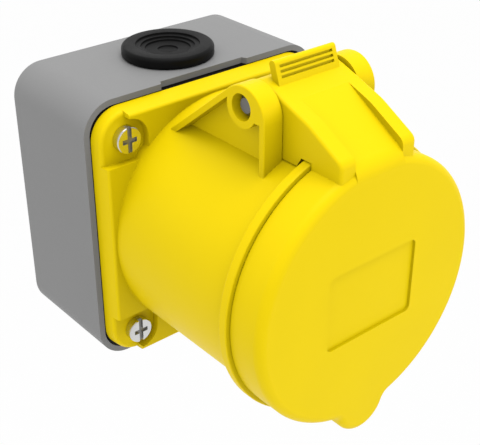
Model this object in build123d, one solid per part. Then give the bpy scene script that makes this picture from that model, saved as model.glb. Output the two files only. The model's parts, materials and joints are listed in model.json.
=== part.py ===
from build123d import *
import os
from math import asin, atan, cos, degrees, radians, sin, sqrt, tan

# Surface-mounted 110 V pin and sleeve socket outlet with a sprung lid.
# Millimetres, +Z up, +X to the right of someone who faces the lid, the lid towards -Y.
# The origin is the centre of the back face, which lies against the wall.
# "Out" is the distance from the wall, so a place "out" lies at y = -out.

# Back box
box_depth = 36.8
box_corner = 9.3
box_wall = 3.2
box_back = 2.6
box_edge = 0.8
rim_width = 1.7
rim_recess = 2.0
notch_width = 30.0
notch_depth = 1.5
notch_slope = 0.8
pillar_radius = 4.2
pillar_rib = 2.4
pillar_hole_depth = 20.0
fixing_pitch_x = 34.0
fixing_pitch_z = 56.0
fixing_hole = 2.4
fixing_collar = 1.6
fixing_collar_height = 1.5

# Cable entry in the top wall, and the blind entry in the bottom wall
entry_radius = 10.25
entry_out = 19.6
blind_groove = 0.8
blind_depth = 0.6
grommet_lip = 13.3
grommet_foot = 12.5
grommet_height = 3.2
grommet_rounding = 1.0
grommet_inner_lip = 12.0
grommet_inner_height = 2.0
grommet_fit = 0.05
membrane_steps = [(9.2, 0.6), (7.7, 0.6), (6.5, 0.5), (2.9, 0.4)]
membrane_thickness = 1.2
membrane_bore = 8.4

# Flange of the socket housing and its gasket
flange_gap = 0.25
flange_border = 1.85
flange_corner = 8.8
flange_depth = 6.4
flange_draft = 7.0
flange_edge = 0.8
flange_skin = 2.6
screw_inset = 7.85
pocket_depth = 2.5
pocket_width = 8.2
pocket_height = 14.3
pocket_edge = 1.2
screw_well = 6.0
gasket_gap = 0.3
gasket_width = 3.8
cored_block = 15.0

# Flange screws
screw_shank = 2.1
screw_head = 3.75
screw_head_height = 2.6
screw_head_edge = 0.3
screw_length = 18.0
screw_slot = 1.3
screw_slot_depth = 1.2
screw_cross = 4.4
screw_hole_play = 0.2
screw_end_play = 0.5
thread_play = 0.03

# Sleeve and collar
sleeve_radius = 36.2
sleeve_wall = 3.5
sleeve_length = 46.3
collar_step = 2.4
collar_width = 2.75
collar_edge = 0.4
mouth_chamfer = 0.8
keyway_width = 9.0
keyway_depth = 1.8

# Hinge
hinge_rise = 10.55
hinge_setback = 17.95
pin_radius = 2.0
pin_head = 2.6
pin_overhang = 2.2
pin_chamfer = 0.7
pin_play = 0.06
press_play = 0.02
ear_inner = 12.9
ear_width = 5.8
ear_web = 2.2
ear_rib = 1.7
ear_ring = 1.85
ear_well = 3.46
ear_fill = 2.5
ear_root = 1.8
ear_crown = 5.6
ear_front = 8.35
ear_crown_shift = 0.7
ear_back_radius = 8.7
ear_back_angle = 38.5
ear_edge = 0.4

# Lid
lid_inset = 1.2
lid_gap = 0.3
lid_depth = 10.65
lid_wall = 2.6
lid_edge = 2.4
label_width = 30.2
label_height = 21.9
label_depth = 0.75
label_corner = 1.6
nose_radius = 8.5
nose_drop = 6.2
nose_depth = 9.0
nose_blend = 4.0
nose_edge = 2.0
lug_width = 10.0
lug_height = 3.0
lug_length = 5.0
lug_root = 0.5

# Neck of the lid, between the ears and over the collar
neck_play = 0.3
neck_wall = 2.25
neck_front = 6.2
neck_back = 5.3
neck_root = 5.0
neck_edge = 0.9
neck_clear = 0.45
neck_line_out = 3.0
neck_line_rise = 4.45
neck_bend_out = 16.7
neck_bend_radius = 20.0
neck_turn_radius = 2.5
neck_turn_setback = 0.9
neck_fall = 0.36
neck_front_fall = 0.56
panel_half = 8.0
panel_out = 9.1
panel_fall = 0.60
panel_turn_radius = 5.0
ledge_half = 10.0
ledge_foot_out = 3.95
ledge_foot_rise = 3.75
ledge_lean = 19.0
ledge_length = 6.7
ledge_thickness = 2.1
ledge_edge = 0.9
ledge_frame = 1.3
ledge_grooves = 3
ledge_groove = 0.7
ledge_ridge = 0.6
ledge_groove_depth = 0.7

# Lid gasket
lid_gasket_width = 1.5
lid_gasket_depth = 5.1
lid_gasket_gap = 0.1
lid_gasket_play = 0.05
lid_rib = 1.8
lid_rib_setback = 1.5

# Lid spring
wire_radius = 0.5
coil_radius = 3.1
coil_pitch = 1.3
coil_turns = 6
press_setback = 2.0
leg_play = 0.05

# Contact carrier
plug_space = 4.9
carrier_setback = 4.0
carrier_edge = 1.0
carrier_front_wall = 2.6
carrier_wall = 2.6
centre_post = 4.4
carrier_play = 0.2
plate_seat = 1.7
plate_play = 0.2
plate_thickness = 3.0
tower_wall = 1.8
tower_height = 5.0
boss_radius = 3.0
boss_length = 7.0
boss_angles = (90, 210, 330)
carrier_screw_radius = 1.45
carrier_screw_head = 2.7
carrier_screw_head_height = 1.9
carrier_screw_bite = 5.5
centre_screw_radius = 2.0
centre_screw_head = 3.6
centre_screw_head_height = 2.4
centre_screw_bite = 14.0

# Contacts, seen from the front: earth at four o'clock, the lines at eight and twelve
contact_circle = 12.5
line_pin_radius = 3.0
earth_pin_radius = 4.0
contact_wall = 1.3
contact_play = 0.03
contact_front_gap = 1.6
contact_bore_depth = 36.0
entry_play = 1.2
slit_width = 0.8
slit_depth = 14.0
contact_collar = 1.6
contact_collar_depth = 1.5
tail_step = 0.3
tail_length = 13.0
wire_hole = 2.6
wire_hole_depth = 10.0
ring_thickness = 0.5
ring_width = 4.0
ring_setback = 2.5
terminal_screw_radius = 1.9
terminal_screw_head = 3.0
terminal_screw_head_height = 2.2
terminal_slot = 0.8
terminal_slot_depth = 1.0
terminal_setback = 4.5

# Places worked out from the sizes above
rim_out = box_depth
seat_out = box_depth - rim_recess
flange_side = 2 * (sleeve_radius + flange_border)
recess_side = flange_side + 2 * flange_gap
box_side = recess_side + 2 * rim_width
screw_pitch = flange_side - 2 * screw_inset
flange_out = rim_out + flange_depth
floor_out = flange_out - pocket_depth
bore_radius = sleeve_radius - sleeve_wall
collar_out = flange_out + sleeve_length
collar_radius = sleeve_radius + collar_step
mouth_out = collar_out + collar_width
lid_radius = collar_radius - lid_inset
lid_back = mouth_out + lid_gap
face_out = lid_back + lid_depth
inside_out = face_out - lid_wall
hinge_out = mouth_out - hinge_setback
hinge_z = sleeve_radius + hinge_rise
ear_outer = ear_inner + ear_width
ear_web_x = ear_inner + ear_web
neck_half = ear_inner - neck_play
crown_z = hinge_z + ear_crown
panel_z = hinge_z + neck_line_rise - neck_fall * (panel_out - neck_line_out)
plate_radius = bore_radius + plate_seat
plate_back = rim_out + plate_play
shoulder_out = plate_back + plate_thickness
carrier_radius = bore_radius - plug_space
carrier_face = mouth_out - carrier_setback
boss_circle = carrier_radius + carrier_play + boss_radius
contact_front = carrier_face - carrier_front_wall - contact_front_gap
contacts = {
    "line_contact_left": (210, line_pin_radius),
    "line_contact_top": (90, line_pin_radius),
    "earth_contact": (330, earth_pin_radius),
}


def front_slab(outline, out_from, out_to, taper=0):
    """Solid with an outline in X and Z, from one distance out from the wall to another."""
    return extrude(Plane.XZ.offset(out_from) * outline, amount=out_to - out_from, taper=taper)


def side_slab(outline, x_from, x_to):
    """Solid with an outline in out and Z, from one X to a larger X."""
    plane = Plane(origin=(x_to, 0, 0), x_dir=(0, -1, 0), z_dir=(-1, 0, 0))
    return extrude(plane * outline, amount=x_to - x_from)


def tube(outer, inner, out_from, out_to):
    """Round ring about the sleeve's axis."""
    return front_slab(Circle(outer) - Circle(inner), out_from, out_to)


def turned(points):
    """Solid of revolution about Z from points of radius and height."""
    return revolve(Plane.XZ * make_face(Polyline(*points, close=True)), Axis.Z)


def facing_out(part, x, z, out):
    """Turns a part's +Z to the front and puts its origin at a place."""
    return Pos(x, -out, z) * Rot(90, 0, 0) * part


def on_circle(radius, angle):
    """X and Z of a point on a circle about the sleeve's axis."""
    return radius * cos(radians(angle)), radius * sin(radians(angle))


def rounded_square(side, corner):
    return RectangleRounded(side, side, corner)


def front_edges(part):
    """Outer edges of the face that lies furthest out."""
    return part.faces().sort_by(Axis.Y)[0].outer_wire().edges()


def corner_places(pitch_x, pitch_z):
    return [(sx * pitch_x / 2, sz * pitch_z / 2) for sx in (-1, 1) for sz in (-1, 1)]


def back_box():
    body = front_slab(rounded_square(box_side, box_corner), 0, rim_out)
    body = fillet(body.faces().sort_by(Axis.Y)[-1].outer_wire().edges(), box_edge)
    cavity_side = box_side - 2 * box_wall
    cavity = front_slab(rounded_square(cavity_side, box_corner - box_wall), box_back, rim_out)
    recess = front_slab(rounded_square(recess_side, box_corner - rim_width), seat_out, rim_out)
    body = body - cavity - recess
    body += corner_pillars(cavity_side / 2)
    for x, z in corner_places(screw_pitch, screw_pitch):
        hole = Pos(x, z) * Circle(screw_shank + thread_play)
        body -= front_slab(hole, seat_out - pillar_hole_depth, seat_out)
    for x, z in corner_places(fixing_pitch_x, fixing_pitch_z):
        collar = Pos(x, z) * Circle(fixing_hole + fixing_collar)
        body += front_slab(collar, box_back, box_back + fixing_collar_height)
        body -= front_slab(Pos(x, z) * Circle(fixing_hole), 0, box_back + fixing_collar_height)
    entry = Pos(0, -entry_out, 0) * Cylinder(entry_radius, box_side, align=(Align.CENTER, Align.CENTER, Align.MIN))
    return body - entry - blind_entry() - rim_notch()


def corner_pillars(cavity_half):
    """Screw pillars in the corners, each tied to its two walls by ribs."""
    pillars = Part()
    for x, z in corner_places(screw_pitch, screw_pitch):
        reach = cavity_half + box_wall / 2 - screw_pitch / 2
        side_rib = Pos(x + (reach / 2 if x > 0 else -reach / 2), z) * Rectangle(reach, pillar_rib)
        end_rib = Pos(x, z + (reach / 2 if z > 0 else -reach / 2)) * Rectangle(pillar_rib, reach)
        outline = Pos(x, z) * Circle(pillar_radius) + side_rib + end_rib
        pillars += front_slab(outline, box_back / 2, seat_out)
    return pillars


def blind_entry():
    """Groove round the bottom entry that is left closed."""
    ring = Circle(entry_radius) - Circle(entry_radius - blind_groove)
    return Pos(0, -entry_out, -box_side / 2) * extrude(ring, amount=blind_depth)


def rim_notch():
    """Shallow step in the middle of the top rim, with sloping ends."""
    half = notch_width / 2
    outline = make_face(Polyline(
        (-half, -rim_out), (-half + notch_slope, -rim_out + notch_depth),
        (half - notch_slope, -rim_out + notch_depth), (half, -rim_out), close=True))
    bottom = recess_side / 2 - box_wall
    return Pos(0, 0, bottom) * extrude(outline, amount=box_side / 2 - bottom)


def entry_grommet():
    top = grommet_height
    level = top
    points = [(membrane_bore, -box_wall - grommet_inner_height),
              (grommet_inner_lip, -box_wall - grommet_inner_height),
              (grommet_inner_lip, -box_wall),
              (entry_radius - grommet_fit, -box_wall),
              (entry_radius - grommet_fit, 0),
              (grommet_foot, 0),
              (grommet_lip, grommet_rounding),
              (grommet_lip, top - grommet_rounding),
              (grommet_lip - grommet_rounding * 0.3, top - grommet_rounding * 0.3),
              (grommet_lip - grommet_rounding, top)]
    for radius, drop in membrane_steps:
        points.append((radius, level))
        level -= drop
        points.append((radius - drop / 2, level))
    points.append((0, level))
    points.append((0, level - membrane_thickness))
    points.append((membrane_bore, level - membrane_thickness))
    return Pos(0, -entry_out, box_side / 2) * turned(points)


def flange_gasket():
    side = recess_side - 2 * gasket_gap
    corner = box_corner - rim_width - gasket_gap
    ring = rounded_square(side, corner) - rounded_square(side - 2 * gasket_width, corner - gasket_width)
    return front_slab(ring, seat_out, rim_out)


def pocket_outline(x, z):
    """Corner pocket with the round well about its screw."""
    half = flange_side / 2
    across = half - pocket_width
    up = half - pocket_height
    beyond = half + flange_depth
    sx = 1 if x > 0 else -1
    sz = 1 if z > 0 else -1
    corner = Pos(sx * (across + beyond) / 2, sz * (up + beyond) / 2) * Rectangle(beyond - across, beyond - up)
    inner = screw_pitch / 2 - screw_well
    beside = Pos(sx * (inner + across) / 2, sz * (up + screw_pitch / 2) / 2) * Rectangle(
        across - inner, screw_pitch / 2 - up)
    return corner + beside + Pos(x, z) * Circle(screw_well)


def flange():
    """Drafted plate with a raised middle and four low corners for the screws."""
    outline = rounded_square(flange_side, flange_corner)
    plate = front_slab(outline, rim_out, floor_out, flange_draft)
    plate = fillet(front_edges(plate), pocket_edge)
    raised = front_slab(outline, rim_out, flange_out, flange_draft)
    raised = fillet(front_edges(raised), flange_edge)
    for x, z in corner_places(screw_pitch, screw_pitch):
        raised -= front_slab(pocket_outline(x, z), rim_out, flange_out + pocket_depth)
    return plate + raised


def flange_coring():
    """Hollows behind the raised middle, between the sleeve and the corner blocks."""
    inside = rounded_square(flange_side - 2 * flange_skin, flange_corner - flange_skin)
    outline = inside - Circle(sleeve_radius + flange_skin / 2)
    for x, z in corner_places(screw_pitch, screw_pitch):
        outline -= Pos(x, z) * Rectangle(cored_block, cored_block)
    return front_slab(outline, rim_out, flange_out - flange_skin)


def ear_outline():
    """Side outline of a hinge ear: back rib, crown arcs and front post."""
    low = sqrt(sleeve_radius ** 2 - ear_outer ** 2) - ear_root
    crown = hinge_out + ear_crown_shift
    front = hinge_out + ear_front
    turn = front - crown
    tilt_x = cos(radians(ear_back_angle))
    tilt_z = sin(radians(ear_back_angle))
    back_x = crown - ear_back_radius * tilt_z
    back_z = crown_z - ear_back_radius * (1 - tilt_x)
    foot_x = back_x - (back_z - low) * tilt_x / tilt_z
    return make_face([
        Line((foot_x, low), (back_x, back_z)),
        TangentArc((back_x, back_z), (crown, crown_z), tangent=(tilt_x, tilt_z)),
        TangentArc((crown, crown_z), (front, crown_z - turn), tangent=(1, 0)),
        Line((front, crown_z - turn), (front, low)),
        Line((front, low), (foot_x, low))])


def hinge_ear():
    """Right-hand ear: a web with a rib all round and a ring about the pin."""
    outline = ear_outline()
    centre = Pos(hinge_out, hinge_z)
    ear = side_slab(outline, ear_inner, ear_outer)
    filled = Pos(ear_front / 2, (ear_crown - ear_fill) / 2) * Rectangle(ear_front, ear_crown + ear_fill)
    hollow = offset(outline, amount=-ear_rib) - centre * (Circle(ear_well + ear_ring) + filled)
    ear -= side_slab(hollow, ear_web_x, ear_outer)
    outer_face = ear.faces().sort_by(Axis.X)[-1]
    ear = fillet(outer_face.outer_wire().edges(), ear_edge)
    ear -= side_slab(centre * Circle(ear_well), ear_web_x, ear_outer)
    return ear - side_slab(centre * Circle(pin_radius + press_play), ear_inner, ear_outer)


def socket_housing():
    body = flange()
    sleeve = front_slab(Circle(sleeve_radius), rim_out, collar_out)
    ear = hinge_ear()
    body += sleeve
    body += ear
    body += mirror(ear, about=Plane.YZ)
    collar = front_slab(Circle(collar_radius), collar_out, mouth_out)
    collar = fillet(collar.edges().filter_by(GeomType.CIRCLE), collar_edge)
    body += collar
    body -= front_slab(Circle(plate_radius + plate_play), rim_out, shoulder_out)
    body -= front_slab(Circle(bore_radius), shoulder_out, mouth_out)
    body -= mouth_lead()
    keyway = Pos(0, -bore_radius) * Rectangle(keyway_width, 2 * keyway_depth)
    body -= front_slab(keyway, flange_out, mouth_out)
    body -= flange_coring()
    for x, z in corner_places(screw_pitch, screw_pitch):
        body -= front_slab(Pos(x, z) * Circle(screw_shank + screw_hole_play), rim_out, flange_out)
    for angle in boss_angles:
        place = Pos(*on_circle(boss_circle, angle))
        body += front_slab(place * Circle(boss_radius), shoulder_out, shoulder_out + boss_length)
        body -= front_slab(place * Circle(carrier_screw_radius + thread_play), shoulder_out,
                           shoulder_out + carrier_screw_bite + screw_end_play)
    return body


def mouth_lead():
    """Chamfer inside the sleeve's mouth."""
    cone = Cone(bore_radius, bore_radius + mouth_chamfer, mouth_chamfer,
                align=(Align.CENTER, Align.CENTER, Align.MIN))
    return facing_out(cone, 0, 0, mouth_out - mouth_chamfer)


def slotted_screw(shank, head, head_height, length, slot, slot_depth, cross):
    """Cheese head screw with its head's underside at the origin and its shank towards -Z."""
    tip = shank * 0.5
    edge = screw_head_edge
    screw = turned([(0, -length), (shank - tip, -length), (shank, -length + tip), (shank, 0), (head, 0),
                    (head, head_height - edge), (head - edge, head_height), (0, head_height)])
    screw -= Pos(0, 0, head_height) * Box(slot, 3 * head, 2 * slot_depth)
    if cross > 0:
        screw -= Pos(0, 0, head_height) * Box(cross, slot, 2 * slot_depth)
    return screw


def flange_screws():
    screw = slotted_screw(screw_shank, screw_head, screw_head_height, screw_length, screw_slot,
                          screw_slot_depth, screw_cross)
    return [facing_out(screw, x, z, floor_out) for x, z in corner_places(screw_pitch, screw_pitch)]


def nose_outline():
    """Lifting nose below the lid, blended at both sides into the lid's rounded edge."""
    centre_z = -(lid_radius + nose_drop - nose_radius)
    flat = lid_radius - lid_edge + nose_edge
    reach = flat + nose_blend
    blend_z = ((nose_radius + nose_blend) ** 2 - reach ** 2 - centre_z ** 2) / (-2 * centre_z)
    blend_x = sqrt(reach ** 2 - blend_z ** 2)
    share = nose_radius / (nose_radius + nose_blend)
    flat_x = blend_x * flat / reach
    flat_z = blend_z * flat / reach
    nose_x = blend_x * share
    nose_z = centre_z + (blend_z - centre_z) * share
    return make_face([
        Line((-flat_x, flat_z), (0, flat_z + nose_radius)),
        Line((0, flat_z + nose_radius), (flat_x, flat_z)),
        blend_arc((flat_x, flat_z), (nose_x, nose_z), (blend_x, blend_z)),
        ThreePointArc((nose_x, nose_z), (0, centre_z - nose_radius), (-nose_x, nose_z)),
        blend_arc((-nose_x, nose_z), (-flat_x, flat_z), (-blend_x, blend_z))])


def blend_arc(start, end, centre):
    """Concave arc of the blend radius between two points about a centre."""
    toward = ((start[0] + end[0]) / 2 - centre[0], (start[1] + end[1]) / 2 - centre[1])
    size = sqrt(toward[0] ** 2 + toward[1] ** 2)
    middle = (centre[0] + toward[0] * nose_blend / size, centre[1] + toward[1] * nose_blend / size)
    return ThreePointArc(start, middle, end)


def lid_cap():
    cap = front_slab(Circle(lid_radius), lid_back, face_out)
    cap = fillet(front_edges(cap), lid_edge)
    nose = front_slab(nose_outline(), face_out - nose_depth, face_out)
    round_edges = [edge for edge in front_edges(nose) if edge.geom_type != GeomType.LINE]
    return cap + fillet(round_edges, nose_edge)


def falling_line(start, fall, end_out, turn_radius):
    """Line that falls forward from a point and turns down at a distance out; gives edges and end height."""
    slope = atan(fall)
    turn_out = end_out - turn_radius * (1 - sin(slope))
    turn_z = start[1] - fall * (turn_out - start[0])
    end_z = turn_z - turn_radius * cos(slope)
    line = Line(start, (turn_out, turn_z))
    arc = TangentArc((turn_out, turn_z), (end_out, end_z), tangent=(cos(slope), -sin(slope)))
    return [line, arc], end_z


def neck_outline():
    """Side outline of the neck, from the knuckle at the pin to the front of its ribs."""
    start = (hinge_out + neck_line_out, hinge_z + neck_line_rise)
    bend = (hinge_out + neck_bend_out, start[1] - neck_fall * (neck_bend_out - neck_line_out))
    slope = atan(neck_fall)
    front_slope = atan(neck_front_fall)
    ease = neck_bend_radius * tan((front_slope - slope) / 2)
    ease_from = (bend[0] - ease * cos(slope), bend[1] + ease * sin(slope))
    ease_to = (bend[0] + ease * cos(front_slope), bend[1] - ease * sin(front_slope))
    front = face_out - neck_turn_setback
    front_edges_down, end_z = falling_line(ease_to, neck_front_fall, front, neck_turn_radius)
    low = sleeve_radius - neck_root
    back = hinge_out - neck_back
    top = hinge_z + neck_back
    return make_face([
        Line(start, ease_from),
        TangentArc(ease_from, ease_to, tangent=(cos(slope), -sin(slope))),
        *front_edges_down,
        Line((front, end_z), (front, low)),
        Line((front, low), (hinge_out + neck_back, low)),
        Line((hinge_out + neck_back, low), (hinge_out, hinge_z - neck_back)),
        RadiusArc((hinge_out, hinge_z - neck_back), (back, hinge_z), neck_back),
        RadiusArc((back, hinge_z), (hinge_out, top), neck_back),
        Line((hinge_out, top), start)])


def neck():
    """Hollow neck: two raised side ribs, the roof between them and the thumb ledge."""
    body = side_slab(neck_outline(), -neck_half, neck_half)
    sides = [body.faces().sort_by(Axis.X)[i].outer_wire().edges() for i in (0, -1)]
    body = fillet(sides[0] + sides[1], neck_edge)
    body += panel_fill()
    return body + thumb_ledge() - neck_cavity()


def panel_edges():
    """Surface of the sunken panel as seen from the side, with its two ends."""
    start = (hinge_out + panel_out, panel_z)
    surface, end_z = falling_line(start, panel_fall, face_out, panel_turn_radius)
    return surface, start, (face_out, end_z)


def panel_fill():
    """What lies under the panel, forward to the lid's face."""
    surface, start, end = panel_edges()
    low = sleeve_radius - neck_root
    outline = make_face(surface + [Line(end, (end[0], low)), Line((end[0], low), (start[0], low)),
                                   Line((start[0], low), start)])
    return side_slab(outline, -panel_half, panel_half)


def panel_cut():
    """What is taken away over the panel, between the ribs."""
    surface, start, end = panel_edges()
    high = hinge_z + neck_back
    beyond = end[0] + neck_wall
    outline = make_face(surface + [Line(end, (beyond, end[1])), Line((beyond, end[1]), (beyond, high)),
                                   Line((beyond, high), (start[0], high)), Line((start[0], high), start)])
    return side_slab(outline, -panel_half, panel_half)


def neck_cavity():
    """Space under the neck's roof for the spring, open at the bottom."""
    half = neck_half - neck_wall
    fall = atan(panel_fall)
    space = coil_radius + wire_radius + leg_play
    front = face_out - neck_front
    top_out = hinge_out + space * sin(fall)
    top_z = hinge_z + space * cos(fall)
    outline = make_face(Polyline(
        (hinge_out - space, 0), (hinge_out - space, hinge_z), (hinge_out, hinge_z), (top_out, top_z),
        (front, top_z - panel_fall * (front - top_out)), (front, 0), close=True))
    return side_slab(outline + Pos(hinge_out, hinge_z) * Circle(space), -half, half)


def thumb_ledge():
    """Leaning plate behind the pin that the thumb presses, with grooves across its front."""
    ledge = Box(2 * ledge_half, ledge_thickness, ledge_length, align=(Align.CENTER, Align.MIN, Align.MIN))
    ledge = fillet(ledge.faces().sort_by(Axis.Z)[-1].edges().filter_by(Axis.X), ledge_edge)
    top = ledge_length - ledge_frame - ledge_groove / 2
    for i in range(ledge_grooves):
        groove = Box(2 * (ledge_half - ledge_frame), 2 * ledge_groove_depth, ledge_groove)
        ledge -= Pos(0, 0, top - (ledge_groove + ledge_ridge) * i) * groove
    foot = Pos(0, -(hinge_out + ledge_foot_out), hinge_z + ledge_foot_rise)
    return foot * Rot(-ledge_lean, 0, 0) * ledge


def collar_clearance():
    """Space that the sleeve and collar need under the neck, as a solid of revolution."""
    low = sleeve_radius + neck_clear
    high = collar_radius + neck_clear
    ramp = collar_step * 0.6
    points = [(0, flange_out), (low, flange_out), (low, collar_out - neck_clear - ramp),
              (high, collar_out - neck_clear), (high, lid_back), (0, lid_back)]
    plane = Plane(origin=(0, 0, 0), x_dir=(1, 0, 0), z_dir=(0, 0, -1))
    return revolve(plane * make_face(Polyline(*points, close=True)), Axis.Y)


def lid_inside():
    """Hollow of the lid: the bowl, the gasket's groove and the short rib between them."""
    groove_out = lid_radius - lid_wall
    groove_in = groove_out - lid_gasket_width - 2 * lid_gasket_play
    bowl = groove_in - lid_rib
    hollow = front_slab(Circle(bowl), lid_back, inside_out)
    hollow += tube(groove_out, groove_in, lid_back, mouth_out + lid_gasket_gap + lid_gasket_depth)
    hollow += front_slab(Circle(groove_out), lid_back, lid_back + lid_rib_setback)
    return hollow


def lid():
    body = lid_cap() + (neck() - collar_clearance())
    body -= panel_cut()
    body -= lid_inside()
    label = RectangleRounded(label_width, label_height, label_corner)
    body -= front_slab(label, face_out - label_depth, face_out)
    bowl = lid_radius - lid_wall - lid_gasket_width - 2 * lid_gasket_play - lid_rib
    lug = Box(lug_width, lug_length, lug_height + lug_root)
    body += Pos(0, -(inside_out - lug_length / 2), bowl - lug_height / 2) * lug
    pin_hole = Pos(hinge_out, hinge_z) * Circle(pin_radius + pin_play)
    return body - side_slab(pin_hole, -neck_half, neck_half)


def lid_gasket():
    outer = lid_radius - lid_wall - lid_gasket_play
    start = mouth_out + lid_gasket_gap
    return tube(outer, outer - lid_gasket_width, start, start + lid_gasket_depth)


def hinge_pin():
    """Pin that is riveted over at both ends, outside the ears' webs."""
    half = ear_web_x + pin_overhang
    pin = turned([(0, -half), (pin_head - pin_chamfer, -half), (pin_head, -half + pin_chamfer),
                  (pin_head, -ear_web_x), (pin_radius, -ear_web_x), (pin_radius, ear_web_x),
                  (pin_head, ear_web_x), (pin_head, half - pin_chamfer), (pin_head - pin_chamfer, half),
                  (0, half)])
    return Pos(0, -hinge_out, hinge_z) * Rot(0, 90, 0) * pin


def lid_spring():
    """Torsion spring about the pin: one leg stands on the sleeve, the other presses the lid's neck down."""
    forward = lid_back + press_setback - hinge_out
    down = hinge_z - (lid_radius + wire_radius + leg_play)
    span = sqrt(forward ** 2 + down ** 2)
    fall = degrees(atan(down / forward) + asin(coil_radius / span))
    height = coil_pitch * (coil_turns + (90 + fall) / 360)
    coil = Helix(coil_pitch, height, coil_radius)
    start, end = coil @ 0, coil @ 1
    sleeve_leg = Line(start - (coil % 0) * (hinge_rise - 2 * leg_play), start)
    lid_leg = Line(end, end + (coil % 1) * sqrt(span ** 2 - coil_radius ** 2))
    path = Wire([sleeve_leg, coil, lid_leg])
    section = Plane(origin=path @ 0, z_dir=path % 0) * Circle(wire_radius)
    wire = sweep(section, path=path, is_frenet=True)
    place = Plane(origin=(-height / 2, -hinge_out, hinge_z), x_dir=(0, 1, 0), z_dir=(1, 0, 0))
    return place.location * wire


def contact_carrier():
    """Round insert: a cup with an entry hole for each pin and a post for the centre screw."""
    body = front_slab(Circle(carrier_radius), shoulder_out, carrier_face)
    body = chamfer(front_edges(body), carrier_edge)
    inside = Circle(carrier_radius - carrier_wall) - Circle(centre_post)
    body -= front_slab(inside, shoulder_out, carrier_face - carrier_front_wall)
    for angle, pin in contacts.values():
        place = Pos(*on_circle(contact_circle, angle))
        body -= front_slab(place * Circle(pin + entry_play), shoulder_out, carrier_face)
    hole = Circle(centre_screw_radius + thread_play)
    return body - front_slab(hole, shoulder_out, shoulder_out + centre_screw_bite + screw_end_play)


def carrier_plate():
    """Plate behind the carrier, with a short tower round the tail of each contact."""
    body = front_slab(Circle(plate_radius), plate_back, shoulder_out)
    for angle, pin in contacts.values():
        place = Pos(*on_circle(contact_circle, angle))
        tail = pin + contact_wall + tail_step
        body += front_slab(place * Circle(tail + tower_wall), plate_back - tower_height, plate_back)
        body -= front_slab(place * Circle(tail + contact_play), plate_back - tower_height, shoulder_out)
    for angle in boss_angles:
        hole = Pos(*on_circle(boss_circle, angle)) * Circle(carrier_screw_radius + screw_hole_play)
        body -= front_slab(hole, plate_back, shoulder_out)
    return body - front_slab(Circle(centre_screw_radius + screw_hole_play), plate_back, shoulder_out)


def rear_screw(radius, head, head_height, length, x, z):
    """Screw driven from behind the plate towards the front."""
    screw = slotted_screw(radius, head, head_height, length, radius * 0.45, head_height * 0.45, 0)
    return Pos(x, -plate_back, z) * Rot(-90, 0, 0) * screw


def carrier_screws():
    length = plate_thickness + carrier_screw_bite
    return [rear_screw(carrier_screw_radius, carrier_screw_head, carrier_screw_head_height, length,
                       *on_circle(boss_circle, angle)) for angle in boss_angles]


def centre_screw():
    length = plate_thickness + centre_screw_bite
    return rear_screw(centre_screw_radius, centre_screw_head, centre_screw_head_height, length, 0, 0)


def socket_contact(angle, pin):
    """Slit brass socket with a collar, a tail, a wire hole and a tapped hole for its clamp screw."""
    outer = pin + contact_wall
    tail = outer + tail_step
    tail_out = plate_back - tail_length
    x, z = on_circle(contact_circle, angle)
    place = Pos(x, z)
    body = front_slab(place * Circle(tail), tail_out, shoulder_out)
    body += front_slab(place * Circle(outer + contact_collar), shoulder_out, shoulder_out + contact_collar_depth)
    body += front_slab(place * Circle(outer), shoulder_out, contact_front)
    body -= front_slab(place * Circle(pin + contact_play), contact_front - contact_bore_depth, contact_front)
    for size in ((4 * outer, slit_width), (slit_width, 4 * outer)):
        body -= front_slab(place * Rectangle(*size), contact_front - slit_depth, contact_front)
    body -= front_slab(place * Circle(wire_hole), tail_out, tail_out + wire_hole_depth)
    tapped = Cylinder(terminal_screw_radius + thread_play, tail, align=(Align.CENTER, Align.CENTER, Align.MIN))
    return body - terminal_place(angle) * tapped


def terminal_place(angle):
    """Middle of a contact's tail, with +Z pointing away from the sleeve's axis."""
    x, z = on_circle(contact_circle, angle)
    out = plate_back - tail_length + terminal_setback
    return Pos(x, -out, z) * Rot(0, 90 - angle, 0)


def spring_ring(angle, pin):
    outer = pin + contact_wall + contact_play
    place = Pos(*on_circle(contact_circle, angle))
    ring = Circle(outer + ring_thickness) - Circle(outer)
    end = contact_front - ring_setback
    return front_slab(place * ring, end - ring_width, end)


def terminal_screw(angle, pin):
    tail = pin + contact_wall + tail_step
    length = tail - wire_hole * 0.3
    screw = slotted_screw(terminal_screw_radius, terminal_screw_head, terminal_screw_head_height, length,
                          terminal_slot, terminal_slot_depth, 0)
    return terminal_place(angle) * Pos(0, 0, tail) * screw


def build():
    parts = {
        "back_box": back_box(),
        "entry_grommet": entry_grommet(),
        "flange_gasket": flange_gasket(),
        "socket_housing": socket_housing(),
        "flange_screws": flange_screws(),
        "contact_carrier": contact_carrier(),
        "carrier_plate": carrier_plate(),
        "carrier_screws": carrier_screws(),
        "centre_screw": centre_screw(),
        "lid": lid(),
        "lid_gasket": lid_gasket(),
        "hinge_pin": hinge_pin(),
        "lid_spring": lid_spring(),
        "contact_rings": [spring_ring(angle, pin) for angle, pin in contacts.values()],
        "terminal_screws": [terminal_screw(angle, pin) for angle, pin in contacts.values()],
    }
    for name, (angle, pin) in contacts.items():
        parts[name] = socket_contact(angle, pin)
    return parts


os.makedirs("parts", exist_ok=True)
for name, part in build().items():
    solids = part if isinstance(part, list) else [part]
    shape = Compound(children=[solid for item in solids for solid in item.solids()])
    export_step(shape, os.path.join("parts", name + ".step"))
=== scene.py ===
"""Looks of a surface-mounted pin and sleeve socket outlet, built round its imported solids."""

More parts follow.
